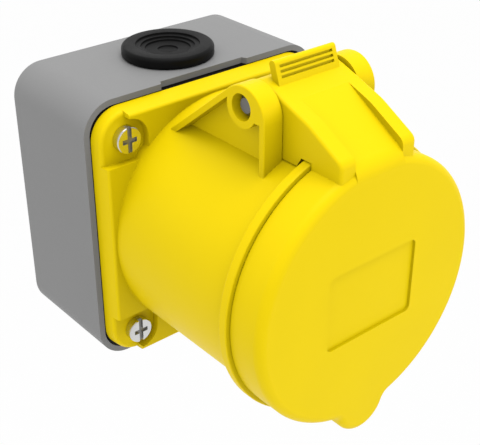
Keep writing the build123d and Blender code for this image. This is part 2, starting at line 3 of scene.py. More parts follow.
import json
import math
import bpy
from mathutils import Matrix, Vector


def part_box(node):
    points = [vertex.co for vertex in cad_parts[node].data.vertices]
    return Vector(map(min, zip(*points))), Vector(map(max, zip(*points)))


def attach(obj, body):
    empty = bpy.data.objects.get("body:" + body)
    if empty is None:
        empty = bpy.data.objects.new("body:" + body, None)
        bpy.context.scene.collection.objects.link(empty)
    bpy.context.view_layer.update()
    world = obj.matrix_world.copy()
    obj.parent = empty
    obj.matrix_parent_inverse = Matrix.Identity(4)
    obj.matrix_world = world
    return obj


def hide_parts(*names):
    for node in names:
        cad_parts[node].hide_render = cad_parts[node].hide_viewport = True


bl_info = {
    "name": "Pin and Sleeve Outlet",
    "version": (1, 0, 0),
    "blender": (4, 5, 0),
    "location": "View3D > Sidebar > Outlet",
    "description": "Plastics, rubber, screws, grommet, spring and studio of a socket outlet",
    "category": "Object",
}

import bmesh
import bpy
from bpy.props import FloatProperty, FloatVectorProperty, IntProperty, PointerProperty
from bpy.types import Operator, Panel, PropertyGroup
from mathutils import Matrix, Vector

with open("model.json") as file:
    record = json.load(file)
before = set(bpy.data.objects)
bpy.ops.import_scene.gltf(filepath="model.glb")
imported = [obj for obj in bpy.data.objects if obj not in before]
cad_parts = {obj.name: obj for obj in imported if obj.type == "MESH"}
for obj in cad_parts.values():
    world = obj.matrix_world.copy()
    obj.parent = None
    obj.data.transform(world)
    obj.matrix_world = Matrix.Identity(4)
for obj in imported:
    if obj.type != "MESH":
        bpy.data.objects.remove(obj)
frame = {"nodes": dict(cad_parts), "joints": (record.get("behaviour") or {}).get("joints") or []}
nodes = frame["nodes"]
hinge = frame["joints"][0]

SCREW_LOW, SCREW_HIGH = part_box("flange_screws")
GROMMET_LOW, GROMMET_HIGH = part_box("entry_grommet")
SPRING_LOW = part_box("lid_spring")[0]
BOX_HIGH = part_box("back_box")[1]
LID_LOW, LID_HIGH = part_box("lid")

MM = 0.001
QUARTER_TURN = math.pi / 2.0
FULL_TURN = 2.0 * math.pi
ON_AXIS = 1e-9
SMOOTH_ANGLE = 35.0

# Sockets of a Mix node that mixes colours
MIX_FACTOR, MIX_FIRST, MIX_SECOND, MIX_RESULT = 0, 6, 7, 2

# Finishes, and the painted shade in the plastics' hollows and the screw slots
WHITE = (1.0, 1.0, 1.0, 1.0)
HELD_BACK = 0.15            # share of a plastic's colour that its neighbours get as bounced light, a painted shade that deepens hollows
BOX_GRAIN = 1.4             # the back box's grain beside that of the other mouldings
BOX_GRAIN_DEPTH = 2.0
BRASS_PITCH = 1.5           # pitch of the marks on brass beside that on the other metals
RUBBER_GRAIN = 0.5 * MM
RUBBER_GRAIN_DEPTH = 0.01 * MM
BLOOM_COLOUR = (0.022, 0.022, 0.021)
DULL_METAL = (0.32, 0.31, 0.29)
RECESS_SHADE = 0.45         # painted shade: brightness of a slot's floor beside that of the metal round it
RECESS_ROUGHNESS = 0.35     # roughness of a slot's floor above that of the metal round it

# Membrane grommet
GROMMET_SEGMENTS = 128
THIRD_STEP = 0.9            # depths of the two inner steps beside that of the outer ones
CENTRE_STEP = 0.7
FILLET_IN = 0.2             # corner at the foot of a step, in lips inwards and upwards
FILLET_UP = 0.5

# Flange screws
SCREW_SEGMENTS = 64
TIP_CHAMFER = 0.5           # chamfer of the tip beside the shank's radius
TOP_RING = 0.5              # radius of the ring of corners in the flat top beside the head's
CUTTER_REACH = 1.5          # half the cutter's long arm beside the head's radius
BURR_SEGMENTS = 2
BURR_ANGLE = 50.0
FLOOR_BAND = 0.1            # how near to a slot's floor, in slot depths, a corner belongs to it
DEEPEST_RECESS = 1.2        # depth, in slot depths, below which no corner belongs to a slot

# Lid spring
COIL_POINTS = 48
WIRE_POINTS = 14
LEG_INSET = 0.5             # lid leg's end from the front of the spring's box, in wire radii
LEG_STANDOFF = 1.1          # lid leg's end above the lid's radius, in wire radii
LID_LEG_LEAN = 1.4 * MM
SLEEVE_LEG_LEAN = 0.6 * MM
SLEEVE_LEG_LIFT = 0.02 * MM

# Studio
FLOOR_RADIUS = 6.0
FLOOR_SEGMENTS = 96
FLOOR_WHITE = 0.95          # share of plain white that the camera and reflections see
LAMP_AIM = Vector((0.0, -0.05, 0.0))
LAMP_SIZE = 0.7
OVERHEAD_PLACE = (0.05, -0.10, 0.85)
FRONT_PLACE = (0.20, -0.90, 0.15)
SENSOR_WIDTH = 36.0
CAMERA_PLACE = (-0.16095, -0.24346, 0.14291)
CAMERA_TURN = (60.0, 0.0, -40.0)
CAMERA_CLIP = (0.01, 20.0)


# Sizes and colours

def length(name, description, default):
    return FloatProperty(name=name, description=description, default=default, min=0.0, precision=5,
                         unit="LENGTH")


def colour(name, description, default):
    return FloatVectorProperty(name=name, description=description, default=default, size=3,
                               subtype="COLOR", min=0.0, max=1.0)


def amount(name, description, default, low=0.0, high=1.0):
    return FloatProperty(name=name, description=description, default=default, min=low, max=high)


class OutletPlastics(PropertyGroup):
    yellow: colour("Yellow", "Colour of the socket housing and the lid", (0.93, 0.690, 0.002))
    grey: colour("Grey", "Colour of the back box", (0.262, 0.262, 0.262))
    insert: colour("Insert", "Colour of the contact insert", (0.030, 0.030, 0.033))
    gloss: amount("Gloss Roughness", "Roughness of the yellow plastic", 0.42)
    matt: amount("Matt Roughness", "Roughness of the grey plastic", 0.55)
    grain: length("Grain", "Size of the moulded grain", 0.35 * MM)
    grain_depth: length("Grain Depth", "Depth of the moulded grain", 0.004 * MM)


class OutletRubber(PropertyGroup):
    black: colour("Black", "Colour of the rubber", (0.005, 0.005, 0.005))
    roughness: amount("Roughness", "Roughness of the rubber", 0.42)
    bloom: amount("Bloom", "Pale bloom on the rubber's surface", 0.12)


class OutletMetals(PropertyGroup):
    zinc: colour("Zinc", "Colour of the bright plating", (0.64, 0.64, 0.63))
    pin: colour("Pin", "Colour of the dull hinge pin", (0.200, 0.202, 0.208))
    brass: colour("Brass", "Colour of the contacts", (0.72, 0.52, 0.24))
    spring: colour("Spring Steel", "Colour of the drawn wire and rings", (0.42, 0.42, 0.43))
    turning: length("Turning Pitch", "Distance between turning marks", 0.16 * MM)


class FlangeScrewSizes(PropertyGroup):
    head: length("Head Radius", "Radius of the cheese head", 3.75 * MM)
    head_height: length("Head Height", "Height of the cheese head", 2.6 * MM)
    shank: length("Shank Radius", "Radius of the shank", 2.1 * MM)
    edge: length("Edge", "Rounding of the head's rim", 0.35 * MM)
    under_edge: length("Under Edge", "Chamfer below the head's rim", 0.15 * MM)
    burr: length("Slot Edge", "Rounding of the slot's edges", 0.09 * MM)
    slot: length("Slot Width", "Width of the slot and the cross", 1.3 * MM)
    slot_depth: length("Slot Depth", "Depth of the slot", 0.8 * MM)
    cross: length("Cross Length", "Length of the shorter arm across the slot", 4.4 * MM)


class GrommetSizes(PropertyGroup):
    rim: length("Rim Radius", "Largest radius of the grommet", GROMMET_HIGH.x)
    height: length("Height", "Height of the rim above the box", GROMMET_HIGH.z - BOX_HIGH.z)
    shoulder: length("Shoulder", "Rounding between the side and the top", 1.05 * MM)
    step: length("Step", "Depth of each step of the membrane", 0.58 * MM)
    lip: length("Groove Lip", "Rounding at the edge of each step", 0.14 * MM)
    outer_groove: length("Outer Groove", "Radius of the widest step", 9.2 * MM)
    second_groove: length("Second Groove", "Radius of the second step", 7.75 * MM)
    third_groove: length("Third Groove", "Radius of the third step", 6.5 * MM)
    centre: length("Centre", "Radius of the middle dimple", 2.9 * MM)
    foot: length("Foot Rounding", "Rounding at the foot of the rim", 0.7 * MM)
    hole: length("Hole", "Radius of the neck that sits in the box's hole", 10.2 * MM)
    bore: length("Bore", "Radius of the bore under the membrane", 8.4 * MM)
    membrane: length("Membrane", "Depth of the membrane's underside", 0.9 * MM)
    wall: length("Wall", "Thickness of the box's wall", 3.2 * MM)
    inner_lip: length("Inner Lip", "Radius of the lip inside the box", 12.0 * MM)
    inner_height: length("Inner Lip Height", "Height of the lip inside the box", 2.0 * MM)
    inner_edge: length("Inner Lip Edge", "Chamfer of the lip inside the box", 0.4 * MM)


class SpringSizes(PropertyGroup):
    wire: length("Wire Radius", "Radius of the spring's wire", 0.5 * MM)
    coil: length("Coil Radius", "Radius of the coil's centre line", 3.1 * MM)
    pitch: length("Pitch", "Distance between turns", 1.3 * MM)
    turns: IntProperty(name="Whole Turns", description="Whole turns of the coil", default=6, min=1)
    nested: amount("Nested Share", "Thickness of the lid leg's wire beside that of the coil", 0.97)


class StudioSettings(PropertyGroup):
    lens: FloatProperty(name="Lens", description="Focal length of the camera", default=75.87,
                        unit="CAMERA")
    floor_drop: length("Floor Drop", "Height of the outlet above the floor", 0.5)
    ambient: amount("Ambient", "Strength of the even light from all round", 0.86, 0.0, 4.0)
    overhead: amount("Overhead", "Power of the lamp above", 3.5, 0.0, 50.0)
    front: amount("Front", "Power of the lamp in front", 0.8, 0.0, 50.0)


# Shader nodes

def feed(tree, value, socket):
    """Sets a socket to a number or a colour, or links it to another node's output."""
    if isinstance(value, (int, float)):
        socket.default_value = value
    elif isinstance(value, tuple):
        socket.default_value = (*value, 1.0)
    else:
        tree.links.new(value, socket)


def math_node(tree, operation, first, second=None):
    """Math node fed by sockets or plain numbers; returns its result."""
    node = tree.nodes.new("ShaderNodeMath")
    node.operation = operation
    feed(tree, first, node.inputs[0])
    if second is not None:
        feed(tree, second, node.inputs[1])
    return node.outputs[0]


def noise(tree, vector, scale, detail=3.0, roughness=0.5):
    node = tree.nodes.new("ShaderNodeTexNoise")
    tree.links.new(vector, node.inputs["Vector"])
    feed(tree, scale, node.inputs["Scale"])
    node.inputs["Detail"].default_value = detail
    node.inputs["Roughness"].default_value = roughness
    return node.outputs["Fac"]


def remap(tree, value, low, high, to_low=0.0, to_high=1.0):
    """Brings a value from one range to another, and holds it there."""
    node = tree.nodes.new("ShaderNodeMapRange")
    tree.links.new(value, node.inputs["Value"])
    node.inputs["From Min"].default_value = low
    node.inputs["From Max"].default_value = high
    node.inputs["To Min"].default_value = to_low
    node.inputs["To Max"].default_value = to_high
    return node.outputs["Result"]


def mix_colour(tree, factor, first, second, blend="MIX"):
    node = tree.nodes.new("ShaderNodeMix")
    node.data_type = "RGBA"
    node.blend_type = blend
    feed(tree, factor, node.inputs[MIX_FACTOR])
    feed(tree, first, node.inputs[MIX_FIRST])
    feed(tree, second, node.inputs[MIX_SECOND])
    return node.outputs[MIX_RESULT]


def mix_shaders(tree, factor, first, second):
    node = tree.nodes.new("ShaderNodeMixShader")
    for index, output in enumerate((factor, first, second)):
        tree.links.new(output, node.inputs[index])
    return node.outputs[0]


def grey_of(tree, value):
    """Grey colour whose three channels are one value."""
    node = tree.nodes.new("ShaderNodeCombineColor")
    for channel in range(3):
        tree.links.new(value, node.inputs[channel])
    return node.outputs[0]


def object_coordinates(tree):
    return tree.nodes.new("ShaderNodeTexCoord").outputs["Object"]


# Shader node groups

def surface_group(name, inputs):
    """New group that puts out a surface; returns the tree, its input node and its output node."""
    tree = bpy.data.node_groups.new(name, "ShaderNodeTree")
    for label, kind, default in inputs:
        socket = tree.interface.new_socket(label, in_out="INPUT", socket_type=kind)
        socket.default_value = default
    for label, kind in (("Colour", "NodeSocketColor"), ("Roughness", "NodeSocketFloat"),
                        ("Height", "NodeSocketFloat")):
        tree.interface.new_socket(label, in_out="OUTPUT", socket_type=kind)
    return tree, tree.nodes.new("NodeGroupInput"), tree.nodes.new("NodeGroupOutput")


def moulded_surface():
    """Fine spark-eroded grain and the broad mottling that flow leaves in a moulding."""
    tree, given, result = surface_group("Moulded Surface", [
        ("Colour", "NodeSocketColor", (0.5, 0.5, 0.5, 1.0)),
        ("Grain Size", "NodeSocketFloat", 0.4 * MM),
        ("Mottle", "NodeSocketFloat", 0.03),
        ("Roughness", "NodeSocketFloat", 0.5)])
    where = object_coordinates(tree)
    grains = math_node(tree, "DIVIDE", 1.0, given.outputs["Grain Size"])
    fine = noise(tree, where, grains, detail=2.0, roughness=0.6)
    broad = noise(tree, where, 38.0, detail=3.0, roughness=0.55)
    spread = remap(tree, broad, 0.3, 0.7, to_low=-1.0, to_high=1.0)
    mottle = math_node(tree, "MULTIPLY", spread, given.outputs["Mottle"])
    tint = grey_of(tree, math_node(tree, "ADD", 1.0, mottle))
    tree.links.new(mix_colour(tree, 1.0, given.outputs["Colour"], tint, "MULTIPLY"),
                   result.inputs["Colour"])
    speck = remap(tree, fine, 0.3, 0.7, to_low=-0.03, to_high=0.03)
    rough = math_node(tree, "ADD", given.outputs["Roughness"], speck)
    rough = math_node(tree, "ADD", rough, math_node(tree, "MULTIPLY", mottle, 0.8))
    tree.links.new(rough, result.inputs["Roughness"])
    height = math_node(tree, "ADD", fine, math_node(tree, "MULTIPLY", broad, 0.35))
    tree.links.new(height, result.inputs["Height"])


def turned_surface():
    """Concentric turning marks from a distance attribute, with a few dull blotches."""
    tree, given, result = surface_group("Turned Surface", [
        ("Colour", "NodeSocketColor", (0.7, 0.7, 0.7, 1.0)),
        ("Pitch", "NodeSocketFloat", 0.16 * MM),
        ("Distance", "NodeSocketFloat", 0.0),
        ("Roughness", "NodeSocketFloat", 0.3)])
    blotch = noise(tree, object_coordinates(tree), 260.0, detail=2.0, roughness=0.5)
    turns = math_node(tree, "DIVIDE", given.outputs["Distance"], given.outputs["Pitch"])
    wave = math_node(tree, "SINE", math_node(tree, "MULTIPLY", turns, FULL_TURN))
    tree.links.new(wave, result.inputs["Height"])
    worn = remap(tree, blotch, 0.35, 0.7, to_low=-0.03, to_high=0.05)
    rough = math_node(tree, "ADD", given.outputs["Roughness"], worn)
    rough = math_node(tree, "ADD", rough, math_node(tree, "MULTIPLY", wave, 0.02))
    tree.links.new(rough, result.inputs["Roughness"])
    dull = remap(tree, blotch, 0.4, 0.75, to_high=0.15)
    tree.links.new(mix_colour(tree, dull, given.outputs["Colour"], DULL_METAL),
                   result.inputs["Colour"])


# Materials

def start_material(name):
    material = bpy.data.materials.new(name)
    material.use_nodes = True
    tree = material.node_tree
    return material, tree, tree.nodes["Principled BSDF"]


def use_group(tree, name, **values):
    """Places a shader node group with its own values."""
    node = tree.nodes.new("ShaderNodeGroup")
    node.node_tree = bpy.data.node_groups[name]
    for label, value in values.items():
        feed(tree, value, node.inputs[label.replace("_", " ")])
    return node


def join_surface(tree, shader, colour_out, rough_out, height_out, depth):
    """Joins a colour, a roughness and a height, as bump of the given depth, to the shader."""
    tree.links.new(colour_out, shader.inputs["Base Color"])
    tree.links.new(rough_out, shader.inputs["Roughness"])
    bump = tree.nodes.new("ShaderNodeBump")
    bump.inputs["Strength"].default_value = 1.0
    bump.inputs["Distance"].default_value = depth
    tree.links.new(height_out, bump.inputs["Height"])
    tree.links.new(bump.outputs[0], shader.inputs["Normal"])


def plastic(name, base, roughness, grain, depth, mottle, shine):
    """Moulded plastic; the light it throws on its own hollows is held back, a painted shade that
    keeps them deep.
    """
    material, tree, shader = start_material(name)
    surface = use_group(tree, "Moulded Surface", Colour=tuple(base), Grain_Size=grain,
                        Mottle=mottle, Roughness=roughness)
    # Painted shade: bounced light sees the colour darkened to the held-back share, so the hollows
    # come out darker.
    rays = tree.nodes.new("ShaderNodeLightPath")
    held = tuple(channel * HELD_BACK for channel in base)
    tint = mix_colour(tree, rays.outputs["Is Diffuse Ray"], surface.outputs["Colour"], held)
    join_surface(tree, shader, tint, surface.outputs["Roughness"], surface.outputs["Height"], depth)
    shader.inputs["IOR"].default_value = 1.53
    shader.inputs["Specular IOR Level"].default_value = shine


def metal(name, base, roughness, pitch, depth):
    """Turned or drawn metal, darker with painted shade and rougher where the recess attribute marks
    it.
    """
    material, tree, shader = start_material(name)
    distance = tree.nodes.new("ShaderNodeAttribute")
    distance.attribute_name = "turning"
    surface = use_group(tree, "Turned Surface", Colour=tuple(base), Pitch=pitch,
                        Distance=distance.outputs["Fac"], Roughness=roughness)
    recess = tree.nodes.new("ShaderNodeAttribute")
    recess.attribute_name = "recess"
    # Painted shade: a slot's floor is darkened as if shadowed.
    dull = tuple(channel * RECESS_SHADE for channel in base)
    tint = mix_colour(tree, recess.outputs["Fac"], surface.outputs["Colour"], dull)
    rougher = remap(tree, recess.outputs["Fac"], 0.0, 1.0, to_high=RECESS_ROUGHNESS)
    rough = math_node(tree, "ADD", surface.outputs["Roughness"], rougher)
    join_surface(tree, shader, tint, rough, surface.outputs["Height"], depth)
    shader.inputs["Metallic"].default_value = 1.0


def rubber(name, base, roughness, bloom):
    """Fine-grained rubber with a pale bloom in patches."""
    material, tree, shader = start_material(name)
    surface = use_group(tree, "Moulded Surface", Colour=tuple(base), Grain_Size=RUBBER_GRAIN,
                        Mottle=0.12, Roughness=roughness)
    patches = noise(tree, object_coordinates(tree), 210.0, detail=4.0, roughness=0.6)
    pale = remap(tree, patches, 0.45, 0.8, to_high=bloom)
    tint = mix_colour(tree, pale, surface.outputs["Colour"], BLOOM_COLOUR)
    join_surface(tree, shader, tint, surface.outputs["Roughness"], surface.outputs["Height"],
                 RUBBER_GRAIN_DEPTH)
    shader.inputs["IOR"].default_value = 1.5
    shader.inputs["Specular IOR Level"].default_value = 0.08


def give(node_names, material_name):
    """Assigns one material to CAD nodes."""
    for name in node_names:
        mesh = nodes[name].data
        mesh.materials.clear()
        mesh.materials.append(bpy.data.materials[material_name])


# Mesh helpers

def plain_mesh(name, mesh):
    """Mesh data made from a bmesh, which is freed."""
    data = bpy.data.meshes.new(name)
    mesh.to_mesh(data)
    mesh.free()
    return data


def closed_mesh(name, mesh):
    """Mesh data made from a closed bmesh, with its faces turned outwards."""
    bmesh.ops.recalc_face_normals(mesh, faces=mesh.faces)
    return plain_mesh(name, mesh)


def lathe(name, profile, segments):
    """Closed mesh turned about Z from (radius, height) points; the first and last are on Z."""
    mesh = bmesh.new()
    rings = []
    for radius, height in profile:
        if radius < ON_AXIS:
            rings.append([mesh.verts.new((0.0, 0.0, height))])
            continue
        ring = []
        for i in range(segments):
            angle = FULL_TURN * i / segments
            ring.append(mesh.verts.new((radius * math.cos(angle), radius * math.sin(angle),
                                        height)))
        rings.append(ring)
    for low, high in zip(rings, rings[1:]):
        for i in range(segments):
            j = (i + 1) % segments
            if len(low) == 1:
                mesh.faces.new((low[0], high[i], high[j]))
            elif len(high) == 1:
                mesh.faces.new((low[i], high[0], low[j]))
            else:
                mesh.faces.new((low[i], high[i], high[j], low[j]))
    return closed_mesh(name, mesh)


def arc(centre, radius, start, end, steps):
    """Profile points on an arc in degrees, about a (radius, height) centre."""
    points = []
    for i in range(steps + 1):
        angle = math.radians(start + (end - start) * i / steps)
        points.append((centre[0] + radius * math.cos(angle), centre[1] + radius * math.sin(angle)))
    return points


def cross_mesh(width, long_arm, short_arm, low, high):
    """Closed prism with a cross outline, its long arm along Y; arms are measured from Z."""
    w = width / 2.0
    outline = [(w, w), (w, long_arm), (-w, long_arm), (-w, w), (-short_arm, w), (-short_arm, -w),
               (-w, -w), (-w, -long_arm), (w, -long_arm), (w, -w), (short_arm, -w), (short_arm, w)]
    mesh = bmesh.new()
    bottom = [mesh.verts.new((x, y, low)) for x, y in outline]
    top = [mesh.verts.new((x, y, high)) for x, y in outline]
    mesh.faces.new(bottom)
    mesh.faces.new(top)
    for i in range(len(outline)):
        j = (i + 1) % len(outline)
        mesh.faces.new((bottom[i], bottom[j], top[j], top[i]))
    return closed_mesh("Cross", mesh)


def link(name, data):
    piece = bpy.data.objects.new(name, data)
    bpy.context.scene.collection.objects.link(piece)
    return piece


def evaluated(piece):
    """Plain mesh of a piece with its modifiers applied."""
    graph = bpy.context.evaluated_depsgraph_get()
    return bpy.data.meshes.new_from_object(piece.evaluated_get(graph))


def cut(mesh, cutter):
    """Cuts a closed mesh out of another and returns the result."""
    piece, tool = link("Screw", mesh), link("Cutter", cutter)
    modifier = piece.modifiers.new("Cut", "BOOLEAN")
    modifier.operation = "DIFFERENCE"
    modifier.solver = "EXACT"
    modifier.object = tool
    result = evaluated(piece)
    bpy.data.objects.remove(tool)
    bpy.data.objects.remove(piece)
    return result


def round_edges(mesh, width):
    """Rounds the sharp edges of a mesh and returns the result."""
    piece = link("Screw", mesh)
    modifier = piece.modifiers.new("Edges", "BEVEL")
    modifier.width = width
    modifier.segments = BURR_SEGMENTS
    modifier.limit_method = "ANGLE"
    modifier.angle_limit = math.radians(BURR_ANGLE)
    result = evaluated(piece)
    bpy.data.objects.remove(piece)
    return result


def smooth(mesh):
    """Smooth faces with sharp edges past an angle."""
    for face in mesh.polygons:
        face.use_smooth = True
    mesh.set_sharp_from_angle(angle=math.radians(SMOOTH_ANGLE))


def store_values(mesh, name, value_at):
    """Keeps one number for each corner of a mesh, as a named attribute that materials read."""
    layer = mesh.attributes.new(name, "FLOAT", "POINT")
    layer.data.foreach_set("value", [value_at(vertex.co) for vertex in mesh.vertices])


def store_recess(mesh, top, depth, rim):
    """Marks the floor of the slots below a screw's flat top, inside its rim, for the metal's
    painted shade and added roughness.
    """
    def sunk_share(spot):
        on_floor = abs(top - depth - spot.z) < FLOOR_BAND * depth
        inside = math.hypot(spot.x, spot.y) < rim or on_floor
        sunk = (top - spot.z) / depth
        return min(1.0, sunk) if inside and 0.0 < sunk < DEEPEST_RECESS else 0.0

    store_values(mesh, "recess", sunk_share)


def finish_piece(name, mesh, body, slot, *replaced):
    piece = link(name, mesh)
    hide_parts(*replaced)
    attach(piece, body)
    return piece


# Geometry node trees

def geometry_tree(name, inputs):
    """New geometry tree with its sockets; returns the tree, its input node and output node."""
    tree = bpy.data.node_groups.new(name, "GeometryNodeTree")
    tree.interface.new_socket("Geometry", in_out="INPUT", socket_type="NodeSocketGeometry")
    for label, kind in inputs:
        tree.interface.new_socket(label, in_out="INPUT", socket_type=kind)
    tree.interface.new_socket("Geometry", in_out="OUTPUT", socket_type="NodeSocketGeometry")
    return tree, tree.nodes.new("NodeGroupInput"), tree.nodes.new("NodeGroupOutput")


def end_tree(tree, given, result, geometry):
    """Makes the geometry real, gives it the tree's material and puts it out."""
    real = tree.nodes.new("GeometryNodeRealizeInstances")
    tree.links.new(geometry, real.inputs[0])
    paint = tree.nodes.new("GeometryNodeSetMaterial")
    tree.links.new(real.outputs[0], paint.inputs["Geometry"])
    tree.links.new(given.outputs["Material"], paint.inputs["Material"])
    tree.links.new(paint.outputs[0], result.inputs[0])


def run_tree(name, mesh, tree, **values):
    """Plain mesh that a geometry tree makes from a mesh and named values."""
    piece = link(name, mesh)
    modifier = piece.modifiers.new("Layout", "NODES")
    modifier.node_group = tree
    sockets = {item.name: item.identifier for item in tree.interface.items_tree
               if item.in_out == "INPUT"}
    for label, value in values.items():
        modifier[sockets[label.replace("_", " ")]] = value
    result = evaluated(piece)
    piece.modifiers.clear()
    bpy.data.objects.remove(piece)
    return result


def corner_layout():
    """Puts the given piece, which faces +Z, at the four corners of a square that faces -Y."""
    tree, given, result = geometry_tree("Corner Layout", [
        ("Pitch", "NodeSocketFloat"), ("Seat", "NodeSocketFloat"),
        ("Material", "NodeSocketMaterial")])
    new, wire = tree.nodes.new, tree.links.new
    grid = new("GeometryNodeMeshGrid")
    grid.inputs["Vertices X"].default_value = 2
    grid.inputs["Vertices Y"].default_value = 2
    wire(given.outputs["Pitch"], grid.inputs["Size X"])
    wire(given.outputs["Pitch"], grid.inputs["Size Y"])
    points = new("GeometryNodeMeshToPoints")
    wire(grid.outputs["Mesh"], points.inputs["Mesh"])
    place = new("GeometryNodeInstanceOnPoints")
    wire(points.outputs[0], place.inputs["Points"])
    wire(given.outputs["Geometry"], place.inputs["Instance"])
    seat = new("ShaderNodeCombineXYZ")
    wire(given.outputs["Seat"], seat.inputs["Y"])
    turn = new("GeometryNodeTransform")
    wire(place.outputs[0], turn.inputs["Geometry"])
    turn.inputs["Rotation"].default_value = (QUARTER_TURN, 0.0, 0.0)
    wire(seat.outputs[0], turn.inputs["Translation"])
    end_tree(tree, given, result, turn.outputs[0])
    return tree


def coil_tree():
    """Wire coiled about the X axis, with one straight leg."""
    tree, given, result = geometry_tree("Torsion Spring", [
        ("Turns", "NodeSocketFloat"), ("Coil", "NodeSocketFloat"), ("Height", "NodeSocketFloat"),
        ("Wire", "NodeSocketFloat"), ("Start Angle", "NodeSocketVector"),
        ("Middle", "NodeSocketVector"), ("Leg Start", "NodeSocketVector"),
        ("Leg End", "NodeSocketVector"), ("Material", "NodeSocketMaterial")])
    new, wire = tree.nodes.new, tree.links.new
    spiral = new("GeometryNodeCurveSpiral")
    spiral.inputs["Resolution"].default_value = COIL_POINTS
    spiral.inputs["Reverse"].default_value = True
    wire(given.outputs["Turns"], spiral.inputs["Rotations"])
    wire(given.outputs["Coil"], spiral.inputs["Start Radius"])
    wire(given.outputs["Coil"], spiral.inputs["End Radius"])
    wire(given.outputs["Height"], spiral.inputs["Height"])
    begin = new("GeometryNodeTransform")
    wire(spiral.outputs[0], begin.inputs["Geometry"])
    wire(given.outputs["Start Angle"], begin.inputs["Rotation"])
    turn = new("GeometryNodeTransform")
    wire(begin.outputs[0], turn.inputs["Geometry"])
    turn.inputs["Rotation"].default_value = (QUARTER_TURN, 0.0, QUARTER_TURN)
    wire(given.outputs["Middle"], turn.inputs["Translation"])
    leg = new("GeometryNodeCurvePrimitiveLine")
    wire(given.outputs["Leg Start"], leg.inputs["Start"])
    wire(given.outputs["Leg End"], leg.inputs["End"])
    join = new("GeometryNodeJoinGeometry")
    wire(turn.outputs[0], join.inputs[0])
    wire(leg.outputs[0], join.inputs[0])
    section = new("GeometryNodeCurvePrimitiveCircle")
    section.inputs["Resolution"].default_value = WIRE_POINTS
    wire(given.outputs["Wire"], section.inputs["Radius"])
    tube = new("GeometryNodeCurveToMesh")
    wire(join.outputs[0], tube.inputs["Curve"])
    wire(section.outputs[0], tube.inputs["Profile Curve"])
    tube.inputs["Fill Caps"].default_value = True
    end_tree(tree, given, result, tube.outputs[0])
    return tree


# Operators

class OUTLET_OT_finishes(Operator):
    """Makes the plastics, rubber and metals from the settings"""
    bl_idname = "outlet.finishes"
    bl_label = "Make Finishes"

    def execute(self, context):
        plastics = context.scene.outlet_plastics
        black = context.scene.outlet_rubber
        metals = context.scene.outlet_metals
        grain, depth, turning = plastics.grain, plastics.grain_depth, metals.turning
        moulded_surface()
        turned_surface()
        plastic("Yellow Moulding", plastics.yellow, plastics.gloss, grain, depth,
                mottle=0.012, shine=0.06)
        plastic("Grey Moulding", plastics.grey, plastics.matt, grain * BOX_GRAIN,
                depth * BOX_GRAIN_DEPTH, mottle=0.02, shine=0.25)
        plastic("Insert Moulding", plastics.insert, roughness=0.5, grain=grain, depth=depth,
                mottle=0.05, shine=0.4)
        rubber("Black Rubber", black.black, black.roughness, black.bloom)
        metal("Bright Zinc", metals.zinc, roughness=0.20, pitch=turning, depth=0.001 * MM)
        metal("Dull Pin", metals.pin, roughness=0.48, pitch=turning, depth=0.002 * MM)
        metal("Turned Brass", metals.brass, roughness=0.28, pitch=turning * BRASS_PITCH,
              depth=0.003 * MM)
        metal("Drawn Steel", metals.spring, roughness=0.34, pitch=turning, depth=0.002 * MM)
        return {"FINISHED"}


class OUTLET_OT_mouldings(Operator):
    """Dresses the back box, the socket housing, the lid and the insert"""
    bl_idname = "outlet.mouldings"
    bl_label = "Dress Mouldings"

    def execute(self, context):
        give(["back_box"], "Grey Moulding")
        give(["socket_housing", "lid"], "Yellow Moulding")
        give(["contact_carrier", "carrier_plate"], "Insert Moulding")
        return {"FINISHED"}


class OUTLET_OT_gaskets(Operator):
    """Dresses the gasket under the flange and the ring in the lid"""
    bl_idname = "outlet.gaskets"
    bl_label = "Dress Gaskets"

    def execute(self, context):
        give(["flange_gasket", "lid_gasket"], "Black Rubber")
        return {"FINISHED"}


class OUTLET_OT_contacts(Operator):
    """Dresses the contacts, their rings, the hinge pin and the screws inside"""
    bl_idname = "outlet.contacts"
    bl_label = "Dress Contacts"

    def execute(self, context):
        give(["line_contact_left", "line_contact_top", "earth_contact"], "Turned Brass")
        give(["contact_rings"], "Drawn Steel")
        give(["hinge_pin"], "Dull Pin")
        give(["terminal_screws", "carrier_screws", "centre_screw"], "Bright Zinc")
        return {"FINISHED"}


class OUTLET_OT_grommet(Operator):
    """Builds the membrane grommet in the top of the box"""
    bl_idname = "outlet.grommet"
    bl_label = "Build Grommet"

    def execute(self, context):
        sizes = context.scene.outlet_grommet
        rim, top, round_off, step = sizes.rim, sizes.height, sizes.shoulder, sizes.step
        wall, foot, lip, edge = sizes.wall, sizes.foot, sizes.lip, sizes.inner_edge
        bottom = -wall - sizes.inner_height
        profile = [(0.0, -sizes.membrane), (sizes.bore, -sizes.membrane), (sizes.bore, bottom),
                   (sizes.inner_lip - edge, bottom), (sizes.inner_lip, bottom + edge),
                   (sizes.inner_lip, -wall), (sizes.hole, -wall), (sizes.hole, 0.0),
                   (rim - foot, 0.0)]
        profile += arc((rim - foot, foot), foot, -90, 0, steps=6)
        profile += arc((rim - round_off, top - round_off), round_off, 0, 90, steps=10)
        level = top
        for radius, drop in ((sizes.outer_groove, step), (sizes.second_groove, step),
                             (sizes.third_groove, step * THIRD_STEP),
                             (sizes.centre, step * CENTRE_STEP)):
            profile += arc((radius + lip, level - lip), lip, 90, 180, steps=4)
            level -= drop
            profile += [(radius - lip * FILLET_IN, level + lip * FILLET_UP), (radius - lip, level)]
        profile.append((0.0, level))
        data = lathe("Grommet", profile, GROMMET_SEGMENTS)
        middle_y = (GROMMET_LOW.y + GROMMET_HIGH.y) / 2.0
        data.transform(Matrix.Translation((0.0, middle_y, BOX_HIGH.z)))
        data.materials.append(bpy.data.materials["Black Rubber"])
        smooth(data)
        finish_piece("membrane_grommet", data, "base", "black_rubber", "entry_grommet")
        return {"FINISHED"}


